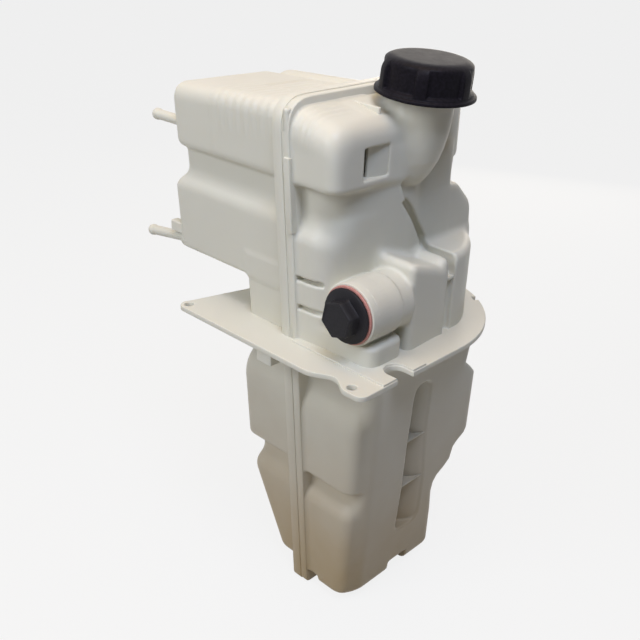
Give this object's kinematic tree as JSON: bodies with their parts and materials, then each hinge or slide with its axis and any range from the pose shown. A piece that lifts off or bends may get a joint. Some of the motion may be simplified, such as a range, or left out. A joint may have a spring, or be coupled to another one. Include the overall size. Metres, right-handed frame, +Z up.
{
  "type": "coolant expansion tank",
  "caption": "Tall moulded coolant expansion tank with a seam flange, a mounting plate round its waist, a filler neck with a black screw cap, and a plugged sensor port.",
  "frame": {"origin": "midway between the two bolt holes of the mounting plate, on the plate's underside", "axes": "+Z up, +X from the seam towards the filler neck, +Y away from the edge with the bolt holes"},
  "size_m": [0.3461, 0.254, 0.5535],
  "materials": {
    "tank": "satin natural polypropylene",
    "cap": "moulded gloss",
    "plug": "moulded matt",
    "insert": "moulded matt",
    "black_rubber": "matt",
    "red_rubber": "matt",
    "valve": "turned",
    "spring": "drawn wire"
  },
  "bodies": {
    "tank": {"rear_shell": "tank", "front_shell": "tank", "filler_neck": "tank", "port_boss": "tank"},
    "insert": {"valve_insert": "insert", "cap_seal": "black_rubber", "insert_ring": "black_rubber", "spring_retainer": "insert", "pressure_spring": "spring"},
    "cap": {"cap_body": "cap"},
    "pressure": {"pressure_valve": "valve", "vacuum_spring": "spring"},
    "vacuum": {"vacuum_valve": "valve"},
    "seal": {"plug_seal": "red_rubber"},
    "plug": {"port_plug": "plug"}
  },
  "joints": [
    {"name": "cap_lift", "type": "slide", "parent": "tank", "child": "insert", "axis": [0.0872, 0, 0.9962], "range_m": [0, 0.012]},
    {"name": "cap_turn", "type": "hinge", "parent": "insert", "child": "cap", "pos_m": [0.064, 0.1235, 0.222], "axis": [0.0872, 0, 0.9962], "range_deg": [0, 1080]},
    {"name": "plug_out", "type": "slide", "parent": "tank", "child": "seal", "axis": [0, -1, 0], "range_m": [0, 0.012]},
    {"name": "plug_turn", "type": "hinge", "parent": "seal", "child": "plug", "pos_m": [0.077, 0.0275, 0.051], "axis": [0, -1, 0], "range_deg": [0, 1440]},
    {"name": "pressure_lift", "type": "slide", "parent": "insert", "child": "pressure", "axis": [0.0872, 0, 0.9962], "range_m": [0, 0.005], "stiffness_N_per_m": 800, "springref_m": -0.004, "deforming": ["pressure_spring"]},
    {"name": "vacuum_drop", "type": "slide", "parent": "pressure", "child": "vacuum", "axis": [-0.0872, 0, -0.9962], "range_m": [0, 0.003], "stiffness_N_per_m": 200, "springref_m": -0.003, "deforming": ["vacuum_spring"]}
  ],
  "couplings": [
    {"joint": "cap_lift", "follows": "cap_turn", "m_per_rad": 0.00063662},
    {"joint": "plug_out", "follows": "plug_turn", "m_per_rad": 0.00047746}
  ]
}
